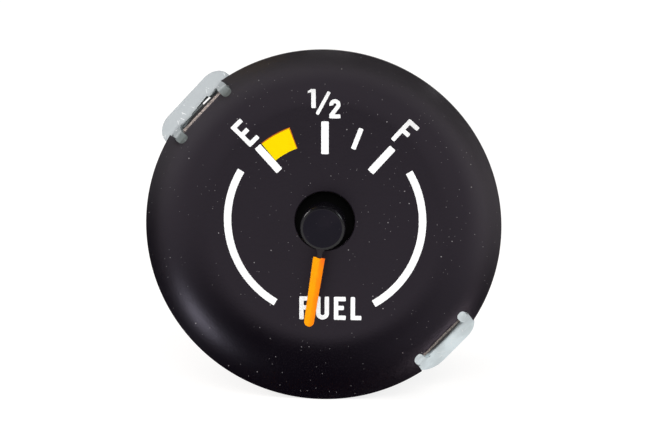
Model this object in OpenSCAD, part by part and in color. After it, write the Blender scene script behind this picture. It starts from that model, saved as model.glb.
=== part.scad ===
// Car fuel gauge: a saucer-shaped dial on a drawn steel drum, held by two plated ears,
// with an orange pointer on a cross-coil movement.
// The dial axis lies along Y and the face looks to -Y. Up is +Z.
// Y = 0 is the plane in which the backs of the two ears meet the instrument panel.

/* [Dial] */
// Diameter of the rim
dial_d = 80; // [78:0.5:84]
// Diameter of the flat middle, where the rim starts to curve forward
flat_d = 53; // [50:0.5:56]
// How far the rim stands in front of the flat
dish_depth = 7.8; // [6:0.1:9]
// Thickness of the pressed sheet
sheet_t = 0.8; // [0.6:0.05:1]
// Front of the flat, measured from the panel plane (negative is forward)
dial_y = -1.2; // [-2:0.1:-0.8]
// Diameter of the centre hole
centre_hole_d = 13; // [11.5:0.25:15]

/* [Scale] */
// Thickness of the printed ink
ink_t = 0.06; // [0.04:0.01:0.12]
// Angle of the empty and full marks from the top
scale_angle = 42; // [38:1:46]
// Inner radius of the long marks
mark_r_in = 15.5; // [13:0.25:17]
// Outer radius of all marks and of the reserve patch
mark_r_out = 23; // [21.5:0.25:23.5]
// Width of the long marks
mark_w = 1.7; // [1:0.1:2]
// Inner radius of the short mark and of the reserve patch
short_r_in = 17.9; // [17:0.1:20]
// Width of the short mark
short_w = 1.1; // [0.6:0.1:1.6]
// Width of the underprint that shows round the reserve patch
underprint_w = 0.22; // [0.1:0.02:0.4]
// Inner radius of the two long arcs
arc_r_in = 21.5; // [20.5:0.1:22.5]
// Width of the two long arcs
arc_w = 1.7; // [1:0.1:2]
// Angle from the top at which an arc starts
arc_from = 59; // [54:1:66]
// Angle from the top at which an arc ends
arc_to = 149.5; // [140:0.5:150]

/* [Lettering] */
// Height of the two end letters
end_h = 6.3; // [5:0.1:6.6]
// Width of the two end letters
end_w = 3.1; // [2.6:0.1:3.4]
// Radius at which the middles of the end letters stand
end_r = 27.2; // [26.8:0.1:27.4]
// Width of a stroke
stroke = 1.02; // [0.8:0.02:1.1]
// Rounding of the ends of a stroke
stroke_round = 0.22; // [0.1:0.02:0.35]
// Height of the word under the axis
word_h = 5.45; // [4.6:0.05:5.6]
// Height of the foot of the word, from the axis
word_z = -23.2; // [-23.8:0.1:-22.6]
// Left end of the word, from the axis
word_x = -5.84; // [-6.4:0.02:-5.4]
// Width of the letters F and E in the word
letter_w = 2.75; // [2.5:0.05:2.9]
// Width of the letter U in the word
letter_u_w = 3; // [2.8:0.05:3.2]
// Width of the letter L in the word
letter_l_w = 2.5; // [2.3:0.05:2.8]
// Space between the letters of the word
letter_gap = 1.12; // [0.8:0.02:1.3]
// Height of the figures at the half mark
figure_h = 4.4; // [3.8:0.1:4.6]
// Width of the second figure
figure_w = 2.53; // [2.4:0.01:2.6]
// Left end of the first figure, from the axis
one_x = -3.9; // [-4.2:0.1:-3.7]
// Height of the foot of the first figure above the axis
one_z = 26; // [25.8:0.1:26.2]
// Left end of the second figure, from the axis
two_x = 0.97; // [0.93:0.01:1.3]
// Height of the foot of the second figure above the axis
two_z = 23.7; // [23.4:0.1:24.2]
// Length of the fraction stroke
slash_len = 5.9; // [5:0.1:6]
// Width of the fraction stroke
slash_w = 0.78; // [0.5:0.02:0.9]
// Lean of the fraction stroke from the vertical
slash_lean = 28; // [24:1:30]
// Middle of the fraction stroke, from the axis
slash_x = -0.42; // [-0.5:0.02:-0.3]
// Height of the middle of the fraction stroke above the axis
slash_z = 27.2; // [27:0.1:27.4]

/* [Ears] */
// Direction of the lower right ear, clockwise from the top; the other ear is opposite
ear_angle = 133.2; // [126:0.2:140]
// Thickness of the ear plate
ear_t = 0.9; // [0.7:0.05:1.1]
// How far the outermost edge of an ear stands out beyond the rim
ear_stand = 2.4; // [2:0.1:3]
// Backward slope of the ear plate
ear_slope = 42; // [36:1:48]
// Length of the ear plate along its slope
ear_len = 5.2; // [4.8:0.1:5.6]
// Straight part of the outer edge, upper left ear
ear_flat_upper = 13; // [11:0.5:14]
// Straight part of the outer edge, lower right ear
ear_flat_lower = 11; // [10:0.5:13]
// Corner radius of an ear
ear_corner_r = 4.1; // [3.4:0.1:4.4]
// How far a notch is cut in from the rim
notch_depth = 2.8; // [2.5:0.1:3]
// Width of a notch
notch_w = 17; // [16:0.25:18]
// Width of a finger
finger_w = 2.8; // [2:0.1:3.2]
// How far the fingers lap over the dial
finger_lap = 1.6; // [1.2:0.1:2]
// Width of the leg that runs back along the drum
leg_w = 5.5; // [4:0.25:6]
// How far the leg reaches behind the panel plane
leg_back = 6.5; // [6:0.25:8]

/* [Pointer] */
// Angle at which the pointer hangs with the power off, from straight down
rest_angle = 8.6; // [0:0.2:20]
// Diameter of the hub cap
hub_d = 10.2; // [9:0.1:11]
// Length of the hub cap
hub_len = 6.2; // [5.4:0.1:6.6]
// Front of the hub cap, measured from the front of the flat
hub_lead = 9; // [8.6:0.1:9.6]
// Wall of the hub cap
hub_wall = 0.9; // [0.7:0.05:1.1]
// Width of the stem between hub and blade
stem_w = 1.1; // [0.9:0.05:1.4]
// Depth of the stem and of the blade
stem_t = 0.9; // [0.7:0.05:1.1]
// Radius at which the blade starts
blade_r_in = 6.8; // [6.4:0.1:7.4]
// Radius of the blade's tip
blade_r_out = 22.9; // [21:0.1:24]
// Width of the blade at the stem
blade_w_in = 2.7; // [2.4:0.05:3]
// Width of the blade at the tip
blade_w_out = 2.25; // [1.9:0.05:2.35]

/* [Case] */
// How far the rim stands out beyond the drum
rim_overhang = 1.7; // [1.5:0.05:2.2]
// Wall of the drum
can_wall = 0.8; // [0.6:0.05:1]
// How far the drum steps in behind the ears
can_step = 0.8; // [0.6:0.05:1.2]
// Back of the drum, measured from the panel plane
can_back = 24; // [24:0.5:30]
// Outside corner radius at the back of the drum
can_corner_r = 3; // [2:0.25:4]

/* [Movement] */
// Diameter of the spindle
spindle_d = 1.2; // [1:0.05:1.4]
// Diameter of the magnet rotor
rotor_d = 11; // [9:0.25:11.5]
// Thickness of the magnet rotor
rotor_t = 4; // [3:0.25:4.5]
// Width of the square coil former
former_w = 16; // [15.5:0.25:16.5]
// Depth of the coil former
former_t = 10; // [9:0.25:10.25]
// Build-up of each winding
winding_t = 2; // [1.5:0.1:2]
// Width of each half of a winding
winding_w = 4.5; // [3.5:0.25:4.5]
// Inside diameter of the magnetic shield
shield_d = 26.8; // [26.6:0.1:28]
// Wall of the shield
shield_wall = 0.8; // [0.6:0.05:1]

/* [Terminals] */
// Thread diameter of the terminal studs
stud_d = 4; // [3.5:0.5:5]
// Diameter of the circle on which the studs stand
stud_pcd = 38; // [37.5:0.5:39]
// How far the studs stand out behind the drum
stud_out = 12; // [11:0.5:16]
// Width across flats of the nuts
nut_af = 7; // [6.5:0.5:8]
// Thickness of the nuts
nut_t = 3.2; // [2.4:0.1:4]
// Thickness of the terminal board
board_t = 1.2; // [1:0.1:1.6]
// Diameter of the terminal board
board_d = 48; // [47:0.5:54]
// Length of the resistor body
resistor_len = 20; // [18:0.5:21]
// Width and height of the resistor body
resistor_w = 5.5; // [5:0.25:6]

/* [Hidden] */

round_fn = 96;
small_fn = 32;
arc_steps = 16;
// Gap between faces that sit on each other
seat_gap = 0.03;
// Gap round a screw or stud, and between a piece and what it slides past
hole_gap = 0.05;
// Gap between pieces that only pass each other
free_gap = 0.15;
// Radial clearance of the spindle in its two bushes
running_gap = 0.03;
overcut = 1;

// Middle bar of the letters E and F: its height, and how far it reaches, as shares
bar_height = 0.52;
bar_reach = 0.84;
// Flag of the first figure: how far it stands out, and how far its edges lie below the top
flag_w = 0.78;
flag_high = 0.52;
flag_low = 0.94;
// Second figure: share of a stroke's width, and angles at which its bowl ends and starts
two_thin = 0.9;
two_turn = -35;
two_start = 194;
// Steps of a rounded corner, and how many roundings long an edge has to be to get one
corner_steps = 4;
corner_room = 2.2;
// Turn and shift of the end letters against the marks beside them
empty_turn = 3;
full_shift = 0.2;
// Gap between the reserve patch and its underprint
print_gap = 0.01;

dial_r = dial_d / 2;
flat_r = flat_d / 2;
dish_w = dial_r - flat_r;
// Radius of the rim's curve, which starts flush with the flat
curve_r = (dish_w * dish_w + dish_depth * dish_depth) / (2 * dish_depth);
curve_y = dial_y - curve_r;
rim_angle = asin(dish_w / curve_r);
rim_back_angle = asin(dish_w / (curve_r + sheet_t));

notch_r = dial_r - notch_depth;
notch_angle = asin((notch_r - flat_r) / curve_r);
notch_y = curve_y + curve_r * cos(notch_angle);
// Radius of the rear corner of the notch's cut edge
notch_back_r = notch_r + sheet_t * sin(notch_angle);
notch_back_y = notch_y + sheet_t * cos(notch_angle);

// Start of the reserve patch beside the empty mark, and its end
patch_from = -scale_angle + asin((mark_w / 2 + hole_gap) / short_r_in);
patch_to = -scale_angle / 2;

can_r = dial_r - rim_overhang;
can_front = face_y(can_r - can_wall, sheet_t) + seat_gap;
// The drum's step lies behind the legs of the ears, and its rear part is a clamping barrel
step_room = 0.5;
step_slope = 45;
step_y = leg_back + step_room;
step_end = step_y + can_step / tan(step_slope);
// How much further forward the step lies on the inside, so that the wall stays even
step_shift = can_wall * tan(step_slope / 2);
rear_r = can_r - can_step;

finger_side = (notch_w - free_gap - finger_w) / 2;
ear_reach = dial_r + ear_stand;
plate_outer_y = -ear_t * cos(ear_slope);
plate_r = ear_reach - ear_len * cos(ear_slope);
plate_y = plate_outer_y - ear_len * sin(ear_slope);
// Crest at which a finger turns from the notch onto the dial, in the middle of its width
crest_z = notch_r + free_gap;
crest_y = face_y(norm([finger_side, crest_z]), -ear_t - hole_gap);
// The crest from the plate's inner edge, along the slope and in front of it
crest_along = (crest_z - plate_r) * cos(ear_slope) + (crest_y - plate_y) * sin(ear_slope);
crest_front = (crest_z - plate_r) * sin(ear_slope) - (crest_y - plate_y) * cos(ear_slope);
// A finger's shank leaves the plate one thickness from its inner edge
shank_start = [0, ear_t];
shank_end = [-crest_front, crest_along];
shank_dir = unit(shank_end - shank_start);
shank_back = [-shank_dir[1], shank_dir[0]];
leg_r = can_r + hole_gap;
// Front of the leg, in the middle of the plate's thickness
leg_front = plate_y + (leg_r + ear_t / 2 - plate_r) * tan(ear_slope)
    + ear_t / (2 * cos(ear_slope));
// Edge of the leg beside the middle of the ear, and how far behind the panel the rivets sit
leg_edge = -0.6;
rivet_y = [0.8, 4.4];
rivet_turn = asin((leg_edge - leg_w / 2) / leg_r);
rivet_r = 1;
rivet_head_r = 1.8;
rivet_crown_r = 1.1;
rivet_head_t = 0.7;
rivet_inside_t = 0.6;

journal_r = spindle_d / 2;
hub_r = hub_d / 2;
hub_face = dial_y - hub_lead;
hub_back = hub_face + hub_len;
hub_round = 0.6;
hub_floor_t = 1.1;
hub_inner = hub_face + hub_floor_t;
// Pointer bush in the hub's boss, which both end short of the hub's back
bush_wall = 1;
boss_wall = 0.8;
boss_short = 0.4;
bush_r = journal_r + bush_wall;
boss_r = bush_r + boss_wall;
boss_end = hub_back - boss_short;
// Stem and blade, which stand a little behind and in front of the hub's face
stem_inset = 0.15;
blade_proud = 0.1;
stem_front = hub_face + stem_inset;
stem_back = stem_front + stem_t;
blade_front = hub_face - blade_proud;
blade_back = blade_front + stem_t;
// Spine on which the blade lies
spine_len = 5;
spine_t = 0.7;
fillet_r = 0.7;
// Ridge of the blade: its place, and how far the sides fall from it
ridge_x = 0.2;
ridge_fall = 0.4;
weight_span = 120;
weight_t = 2.6;
weight_r_in = boss_r + hole_gap;
weight_r_out = hub_r - hub_wall;

board_front = can_back - can_wall - board_t;
shield_r = shield_d / 2;
shield_floor = board_front - shield_wall;
winding_gap = 0.05;
// Half depth of the two crossed windings, front to back
half_in = former_t / 2 + winding_gap;
half_cross = half_in + winding_t + winding_gap;
half_out = half_cross + winding_t;
former_half = former_w / 2;
// Room round the rotor, and between the windings and the shield
rotor_room = 0.6;
coil_room = 0.6;
cavity_r = rotor_d / 2 + rotor_room;
cavity_half = rotor_t / 2 + rotor_room;
// Middle of the movement
move_y = shield_floor - coil_room - half_out;
// Boss at each end of the former, its bush, and how far it stands out of the windings
journal_bush_wall = 0.8;
journal_bush_r = journal_r + journal_bush_wall;
journal_bush_len = 3;
boss_out_wall = 0.5;
boss_out_r = journal_bush_r + boss_out_wall;
boss_proud = 0.4;
boss_front = move_y - half_out - boss_proud;
boss_back = move_y + half_out + boss_proud;
winding_start = boss_out_r + free_gap;
post_w = 2.4;
post_at = former_half;
// Shield's front edge and its cover
shield_lead = 0.6;
shield_front = boss_front - shield_lead;
cover_t = 0.8;
cover_room = 0.5;
cover_hole_r = boss_out_r + cover_room;
// Ends of the spindle, in the hub and in the rear bush
bush_floor_t = 1;
spindle_front = hub_inner + seat_gap;
spindle_back = boss_back - bush_floor_t;

stud_r = stud_d / 2;
stud_ring_r = stud_pcd / 2;
stud_angles = [0, 120, 240];
stud_side = stud_ring_r * sin(stud_angles[1]);
stud_low = stud_ring_r * cos(stud_angles[1]);
// How far each round piece on a stud stands out beyond its thread
stud_head_wall = 1.4;
spigot_wall = 1;
flange_wall = 2.6;
washer_wall = 2.4;
lock_wall = 1.5;
stud_head_r = stud_r + stud_head_wall;
spigot_r = stud_r + spigot_wall;
flange_r = stud_r + flange_wall;
washer_r = stud_r + washer_wall;
lock_r = stud_r + lock_wall;
stud_head_t = 1.5;
flange_t = 1;
washer_t = 0.8;
lock_t = 0.9;
lock_slit = 0.5;
flange_back = can_back + flange_t;
screw_r = 1;
screw_head_r = 1.9;
screw_head_t = 1.3;
screw_grip = 4;
slot_w = 0.5;
slot_t = 0.6;
// Resistor and its two straps
strap_t = 0.5;
strap_w = 4;
strap_rise = 3.6;
resistor_lift = 1.2;

// Y of a surface that lies behind the dial's front face by the distance back, at radius r
function face_y(r, back = 0) =
    curve_y + sqrt(pow(curve_r + back, 2) - pow(max(0, r - flat_r), 2));

// Point on such a surface, at an angle along the rim's curve
function curve_point(angle, back = 0) =
    [flat_r + (curve_r + back) * sin(angle), curve_y + (curve_r + back) * cos(angle)];

function curve_points(angle, back = 0) =
    [for (i = [0:arc_steps]) curve_point(angle * i / arc_steps, back)];

function reversed(list) = [for (i = [len(list) - 1:-1:0]) list[i]];

function arc_points(x, y, r, from, to) =
    [for (i = [0:arc_steps]) let (a = from + (to - from) * i / arc_steps)
        [x + r * cos(a), y + r * sin(a)]];

function unit(v) = v / norm(v);

function swung(v, angle) =
    [v[0] * cos(angle) - v[1] * sin(angle), v[0] * sin(angle) + v[1] * cos(angle)];

// Outline with its outward corners rounded, except slight ones and those beside a short edge
function rounded(points, r) =
    [for (i = [0:len(points) - 1])
        let (corner = points[i],
             before = points[(i + len(points) - 1) % len(points)] - corner,
             after = points[(i + 1) % len(points)] - corner,
             half = acos(unit(before) * unit(after)) / 2,
             sharp = half > 60 || cross(before, after) > 0
                 || min(norm(before), norm(after)) < corner_room * r,
             middle = corner + unit(unit(before) + unit(after)) * r / sin(half),
             start = corner + unit(before) * r / tan(half) - middle)
        each sharp ? [corner]
            : [for (k = [0:corner_steps])
                  middle + swung(start, (180 - 2 * half) * k / corner_steps)]];

// Turns an outline of [radius, y] points about the dial axis
module turned(points) {
    rotate([-90, 0, 0])
        rotate_extrude($fn = round_fn)
            polygon(points);
}

// Extrudes a flat shape, drawn in x and z, along the dial axis
module along_axis(y0, y1) {
    translate([0, y1, 0])
        rotate([90, 0, 0])
            linear_extrude(y1 - y0)
                children();
}

// Extrudes a flat shape, drawn in y and z, across the dial axis
module across(x0, x1) {
    translate([x0, 0, 0])
        rotate([90, 0, 90])
            linear_extrude(x1 - x0)
                children();
}

// Turns what is drawn at the top of the dial to a clock angle
module at_clock(angle) {
    rotate([0, angle, 0])
        children();
}

module disc(r, y0, y1, fn = small_fn) {
    along_axis(y0, y1)
        circle(r, $fn = fn);
}

module ring(r_in, r_out, y0, y1, fn = small_fn) {
    along_axis(y0, y1)
        difference() {
            circle(r_out, $fn = fn);
            circle(r_in, $fn = fn);
        }
}

// Thin layer that follows the dial's front, from one distance behind it to another
module dial_layer(front, back) {
    turned(concat([[0, dial_y + front]], curve_points(rim_angle, front),
                  reversed(curve_points(rim_angle, back)), [[0, dial_y + back]]));
}

// Dial

// The notch is cut square to the sheet; a gap leaves out a strip beside its inner edge
module notch_cut(gap = 0) {
    reach = 6;
    front = notch_y - reach * cos(notch_angle);
    shift = gap / cos(notch_angle);
    behind_r = notch_back_r + shift + hole_gap * sin(notch_angle);
    across(-notch_w / 2, notch_w / 2)
        polygon([[front, notch_r + shift - reach * sin(notch_angle)],
                 [notch_back_y + hole_gap * cos(notch_angle), behind_r],
                 [overcut, behind_r], [overcut, dial_r + reach], [front, dial_r + reach]]);
}

module dial_plate() {
    color([0.16, 0.15, 0.17])
        difference() {
            turned(concat([[centre_hole_d / 2, dial_y]], curve_points(rim_angle),
                          reversed(curve_points(rim_back_angle, sheet_t)),
                          [[centre_hole_d / 2, dial_y + sheet_t]]));
            at_clock(ear_angle)
                notch_cut();
            at_clock(ear_angle + 180)
                notch_cut();
        }
}

// Scale

// Outlines run counter-clockwise from the lower left
function oblong(w, h) = [[0, 0], [w, 0], [w, h], [0, h]];

function letter_l(w, h) =
    [[0, 0], [w, 0], [w, stroke], [stroke, stroke], [stroke, h], [0, h]];

function letter_f(w, h) =
    let (low = h * bar_height - stroke / 2, reach = w * bar_reach)
    [[0, 0], [stroke, 0], [stroke, low], [reach, low], [reach, low + stroke],
     [stroke, low + stroke], [stroke, h - stroke], [w, h - stroke], [w, h], [0, h]];

// The letter F with a foot
function letter_e(w, h) =
    let (above = letter_f(w, h))
    concat([[0, 0], [w, 0], [w, stroke], [stroke, stroke]],
           [for (i = [2:len(above) - 1]) above[i]]);

function letter_u(w, h) =
    let (bend = w / 2)
    concat(arc_points(bend, bend, bend, 180, 360), [[w, h], [w - stroke, h]],
           arc_points(bend, bend, bend - stroke, 360, 180), [[stroke, h], [0, h]]);

function figure_one(h) =
    [[flag_w, 0], [flag_w + stroke, 0], [flag_w + stroke, h], [flag_w, h],
     [0, h - flag_high], [0, h - flag_low], [flag_w, h - flag_low + stroke_round]];

// A foot, a straight of the same width that leans over it, and an open bowl
function figure_two(w, h) =
    let (line = stroke * two_thin,
         bowl = w / 2,
         middle = h - bowl,
         outer = [bowl + bowl * cos(two_turn), middle + bowl * sin(two_turn)],
         inner = [bowl + (bowl - line) * cos(two_turn), middle + (bowl - line) * sin(two_turn)],
         lean = inner[0] / (inner[1] - line))
    concat([[0, 0], [w, 0], [w, line], [outer[0] - (outer[1] - line) * lean, line]],
           arc_points(bowl, middle, bowl, two_turn, two_start),
           arc_points(bowl, middle, bowl - line, two_start, two_turn),
           [[0, line]]);

module glyph(x, z, outline) {
    translate([x, z])
        polygon(rounded(outline, stroke_round));
}

module mark(clock, r_in, w) {
    rotate(-clock)
        glyph(-w / 2, r_in, oblong(w, mark_r_out - r_in));
}

// Part of a flat ring between two clock angles
module ring_part(r_in, r_out, from, to) {
    steps = arc_steps * 2;
    polygon(concat(
        [for (i = [0:steps]) let (a = from + (to - from) * i / steps)
            [r_out * sin(a), r_out * cos(a)]],
        [for (i = [steps:-1:0]) let (a = from + (to - from) * i / steps)
            [r_in * sin(a), r_in * cos(a)]]));
}

module white_marks() {
    for (clock = [-scale_angle, 0, scale_angle])
        mark(clock, mark_r_in, mark_w);
    mark(scale_angle / 2, short_r_in, short_w);
    for (side = [-1, 1])
        ring_part(arc_r_in, arc_r_in + arc_w, side * arc_from, side * arc_to);
}

module white_letters() {
    rotate(scale_angle)
        translate([0, end_r])
            rotate(empty_turn)
                glyph(-end_w / 2, -end_h / 2, letter_e(end_w, end_h));
    rotate(-scale_angle)
        glyph(-end_w / 2 - full_shift, end_r - end_h / 2 + full_shift, letter_f(end_w, end_h));
    glyph(word_x, word_z, letter_f(letter_w, word_h));
    glyph(word_x + letter_w + letter_gap, word_z, letter_u(letter_u_w, word_h));
    glyph(word_x + letter_w + letter_u_w + 2 * letter_gap, word_z, letter_e(letter_w, word_h));
    glyph(word_x + 2 * letter_w + letter_u_w + 3 * letter_gap, word_z,
          letter_l(letter_l_w, word_h));
    glyph(one_x, one_z, figure_one(figure_h));
    glyph(two_x, two_z, figure_two(figure_w, figure_h));
    translate([slash_x, slash_z])
        rotate(-slash_lean)
            glyph(-slash_w / 2, -slash_len / 2, oblong(slash_w, slash_len));
}

module scale_print() {
    color("white")
        intersection() {
            dial_layer(-ink_t, 0);
            along_axis(dial_y - dish_depth, dial_y + overcut) {
                white_marks();
                white_letters();
            }
        }
}

module reserve_patch() {
    color([1, 0.88, 0.05])
        along_axis(dial_y - ink_t, dial_y)
            ring_part(short_r_in, mark_r_out - underprint_w, patch_from, patch_to);
}

// Strip that shows along the outer edge and the right side of the reserve patch
module reserve_underprint() {
    edge = asin(underprint_w / mark_r_out);
    seam = asin(print_gap / short_r_in);
    color([0.75, 0.35, 0.1])
        along_axis(dial_y - ink_t, dial_y) {
            ring_part(mark_r_out - underprint_w + print_gap, mark_r_out,
                      patch_from, patch_to + edge);
            ring_part(short_r_in, mark_r_out, patch_to + seam, patch_to + edge);
        }
}

// Ears

module plate_outline(flat_len) {
    square_len = ear_len - ear_corner_r;
    translate([-flat_len / 2, 0])
        square([flat_len, ear_len]);
    translate([-flat_len / 2 - ear_corner_r, 0])
        square([flat_len + 2 * ear_corner_r, square_len]);
    for (x = [-flat_len / 2, flat_len / 2])
        translate([x, square_len])
            circle(ear_corner_r, $fn = round_fn);
}

// A finger follows the dial's front and has a round tip
module finger_outline() {
    tip = notch_r - finger_lap;
    translate([0, tip + finger_w / 2])
        circle(finger_w / 2, $fn = round_fn);
    translate([-finger_w / 2, tip + finger_w / 2])
        square([finger_w, plate_r - tip - finger_w / 2]);
}

// Lays what is drawn at the plate's inner edge on the slope of the plate
module on_slope() {
    translate([0, plate_y, plate_r])
        rotate([-ear_slope, 0, 0])
            children();
}

// A strip behind the line from the plate to the crest, which can run on past the crest
module finger_strip(side, depth, past = 0) {
    start = shank_start - past * shank_dir;
    end = shank_end + past * shank_dir;
    on_slope()
        across(side * finger_side - finger_w / 2, side * finger_side + finger_w / 2)
            polygon([start, end, end + depth * shank_back, start + depth * shank_back]);
}

// The shank rises from the plate through the notch, clear of its cut edge
module finger_shank(side) {
    intersection() {
        finger_strip(side, ear_t);
        notch_cut(free_gap);
    }
}

// The end of the finger lies on the dial
module finger_end(side) {
    intersection() {
        dial_layer(-ear_t - hole_gap, -hole_gap);
        finger_strip(side, dial_r, dish_depth);
        along_axis(dial_y - 2 * dish_depth, 0)
            translate([side * finger_side, 0])
                finger_outline();
    }
}

module ear(flat_len) {
    difference() {
        union() {
            on_slope()
                along_axis(0, ear_t)
                    intersection() {
                        plate_outline(flat_len);
                        translate([-dial_r, 0])
                            square(2 * dial_r);
                    }
            for (side = [-1, 1])
                finger_shank(side);
            intersection() {
                ring(leg_r, leg_r + ear_t, leg_front, leg_back, round_fn);
                along_axis(leg_front, leg_back)
                    translate([leg_edge - leg_w, 0])
                        square([leg_w, ear_reach]);
            }
        }
        disc(leg_r, can_front - free_gap, leg_back + overcut, round_fn);
        for (y = rivet_y)
            at_clock(rivet_turn)
                rivet_hole(y);
    }
    for (side = [-1, 1])
        finger_end(side);
}

module rivet_hole(y) {
    translate([0, y, 0])
        cylinder(r = rivet_r + hole_gap / 2, h = dial_r + overcut, $fn = small_fn);
}

module upper_left_ear() {
    color([0.73, 0.75, 0.76])
        at_clock(ear_angle + 180)
            ear(ear_flat_upper);
}

module lower_right_ear() {
    color([0.79, 0.82, 0.83])
        at_clock(ear_angle)
            ear(ear_flat_lower);
}

module rivet(y) {
    inside = sqrt(pow(can_r - can_wall, 2) - pow(rivet_head_r, 2)) - hole_gap;
    outside = leg_r + ear_t;
    translate([0, y, inside - rivet_inside_t])
        cylinder(r = rivet_head_r, h = rivet_inside_t, $fn = small_fn);
    translate([0, y, inside - rivet_inside_t])
        cylinder(r = rivet_r, h = outside - inside + rivet_inside_t + rivet_head_t / 2,
                 $fn = small_fn);
    translate([0, y, outside])
        cylinder(r1 = rivet_head_r, r2 = rivet_crown_r, h = rivet_head_t, $fn = small_fn);
}

module ear_rivets() {
    color([0.68, 0.7, 0.72])
        for (clock = [ear_angle, ear_angle + 180], y = rivet_y)
            at_clock(clock + rivet_turn)
                rivet(y);
}

// Case

module case_can() {
    corner_y = can_back - can_corner_r;
    corner_x = rear_r - can_corner_r;
    color([0.45, 0.46, 0.48])
        difference() {
            turned(concat([[can_r, can_front], [can_r, step_y], [rear_r, step_end]],
                          arc_points(corner_x, corner_y, can_corner_r, 0, 90),
                          [[0, can_back], [0, can_back - can_wall]],
                          arc_points(corner_x, corner_y, can_corner_r - can_wall, 90, 0),
                          [[rear_r - can_wall, step_end - step_shift],
                           [can_r - can_wall, step_y - step_shift],
                           [can_r - can_wall, can_front]]));
            for (clock = stud_angles)
                at_clock(clock)
                    translate([0, 0, stud_ring_r])
                        disc(spigot_r + hole_gap, board_front, can_back + overcut);
            at_screws()
                disc(screw_r + hole_gap, board_front, can_back + overcut);
            for (clock = [ear_angle, ear_angle + 180], y = rivet_y)
                at_clock(clock + rivet_turn)
                    rivet_hole(y);
        }
}

// Pointer, drawn hanging straight down and then turned to its rest

module at_rest() {
    at_clock(rest_angle)
        children();
}

module pointer_hub() {
    color([0.12, 0.11, 0.13])
        at_rest() {
            turned(concat([[0, hub_face]],
                          arc_points(hub_r - hub_round, hub_face + hub_round, hub_round,
                                     -90, 0),
                          [[hub_r, hub_back], [hub_r - hub_wall, hub_back],
                           [hub_r - hub_wall, hub_inner], [boss_r, hub_inner],
                           [boss_r, boss_end], [bush_r, boss_end],
                           [bush_r, hub_inner], [0, hub_inner]]));
            across(-stem_w / 2, stem_w / 2)
                polygon([[stem_front, -hub_r + hub_wall / 2], [stem_front, -blade_r_in],
                         [blade_back, -blade_r_in], [blade_back, -blade_r_in - spine_len],
                         [blade_back + spine_t, -blade_r_in - spine_len],
                         [stem_back + spine_t, -hub_r + hub_wall / 2]]);
            along_axis(stem_front, stem_back)
                for (side = [-1, 1])
                    difference() {
                        translate([side * (stem_w / 2 + fillet_r / 2), -hub_r - fillet_r / 3])
                            square([fillet_r, fillet_r * 4 / 3], center = true);
                        translate([side * (stem_w / 2 + fillet_r), -hub_r - fillet_r])
                            circle(fillet_r, $fn = small_fn);
                    }
        }
}

module blade_outline() {
    tip_r = blade_w_out / 2;
    polygon(concat([[blade_w_in / 2, -blade_r_in], [-blade_w_in / 2, -blade_r_in]],
                   arc_points(0, tip_r - blade_r_out, tip_r, 180, 360)));
}

// Low roof that gives the blade its ridge
module blade_roof() {
    half = blade_w_in / 2 + overcut;
    translate([0, 0, -blade_r_out - overcut])
        linear_extrude(blade_r_out)
            polygon([[-half, blade_back + overcut], [-half, blade_front + ridge_fall],
                     [ridge_x, blade_front], [half, blade_front + ridge_fall],
                     [half, blade_back + overcut]]);
}

module pointer_blade() {
    color([1, 0.58, 0])
        at_rest()
            intersection() {
                along_axis(blade_front, blade_back)
                    blade_outline();
                blade_roof();
            }
}

module pointer_bush() {
    color([0.8, 0.65, 0.3])
        ring(journal_r, bush_r, hub_inner, boss_end);
}

module balance_weight() {
    color([0.5, 0.5, 0.52])
        at_rest()
            along_axis(hub_inner, hub_inner + weight_t)
                ring_part(weight_r_in, weight_r_out, -weight_span / 2, weight_span / 2);
}

module spindle() {
    color([0.75, 0.76, 0.78])
        disc(journal_r, spindle_front, spindle_back);
}

module magnet_rotor() {
    color([0.25, 0.25, 0.27])
        ring(journal_r, rotor_d / 2, move_y - rotor_t / 2, move_y + rotor_t / 2, round_fn);
}

// Movement

module at_screws() {
    for (side = [-1, 1])
        translate([side * post_at, 0, side * post_at])
            children();
}

// One half of the former, drawn as the front half
module former_half() {
    difference() {
        union() {
            along_axis(move_y - former_t / 2, move_y)
                square(former_w, center = true);
            disc(boss_out_r, boss_front, move_y - former_t / 2);
        }
        disc(cavity_r, move_y - cavity_half, move_y + overcut, round_fn);
        disc(journal_r + free_gap, boss_front - overcut, move_y);
        disc(journal_bush_r, boss_front - overcut, boss_front + journal_bush_len);
    }
}

module former_front() {
    color([0.9, 0.88, 0.8])
        former_half();
}

// The rear half also has four posts, which carry the movement on the back of the drum
module former_rear() {
    color([0.9, 0.88, 0.8]) {
        translate([0, 2 * move_y, 0])
            mirror([0, 1, 0])
                former_half();
        for (x = [-1, 1], z = [-1, 1])
            difference() {
                translate([x * post_at, 0, z * post_at])
                    along_axis(move_y + hole_gap, shield_floor)
                        square(post_w, center = true);
                along_axis(move_y, move_y + former_t / 2)
                    square(former_w, center = true);
                if (x == z)
                    translate([x * post_at, 0, z * post_at])
                        disc(screw_r, shield_floor - screw_grip, shield_floor + overcut);
            }
    }
}

module front_bush() {
    color([0.8, 0.65, 0.3])
        ring(journal_r + running_gap, journal_bush_r, boss_front,
             boss_front + journal_bush_len);
}

module rear_bush() {
    color([0.8, 0.65, 0.3])
        difference() {
            disc(journal_bush_r, boss_back - journal_bush_len, boss_back);
            disc(journal_r + running_gap, boss_back - journal_bush_len - overcut,
                 spindle_back + hole_gap);
        }
}

// Two flat loops of wire, one each side of the boss
module winding(half_depth, half_span) {
    for (side = [-1, 1])
        translate([side * (winding_start + winding_w / 2) - winding_w / 2, move_y, 0])
            across(0, winding_w)
                difference() {
                    square([2 * (half_depth + winding_t), 2 * (half_span + winding_t)],
                           center = true);
                    square([2 * half_depth, 2 * half_span], center = true);
                }
}

module inner_coil() {
    color([0.72, 0.35, 0.15])
        winding(half_in, former_half + winding_gap);
}

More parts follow.
